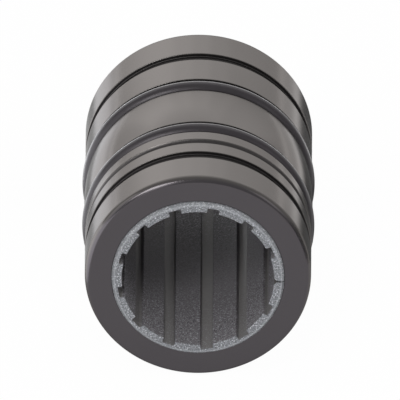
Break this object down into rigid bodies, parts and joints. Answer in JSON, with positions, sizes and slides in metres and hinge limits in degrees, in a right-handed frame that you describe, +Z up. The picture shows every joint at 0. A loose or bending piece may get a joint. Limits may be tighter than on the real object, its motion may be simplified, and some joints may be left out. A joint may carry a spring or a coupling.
{
  "type": "linear plain bearing",
  "caption": "Closed self-aligning linear plain bearing: dark anodised sleeve with retaining ring grooves and O-rings, round a split plastic liner with pads and slots.",
  "frame": {"origin": "on the bore axis, half way between the bearing's two ends", "axes": "+Y along the bore axis from the front end to the rear, +X to the right seen from the front, +Z up; the liner's split is 2.5 degrees below +X"},
  "size_m": [0.0763, 0.1, 0.0762],
  "materials": {
    "anodised_aluminium": "satin",
    "liner_plastic": "matte",
    "ring_rubber": "satin"
  },
  "bodies": {
    "root": {"adapter_sleeve": "anodised_aluminium", "bearing_liner": "liner_plastic", "front_o_ring": "ring_rubber", "rear_o_ring": "ring_rubber"}
  },
  "joints": []
}
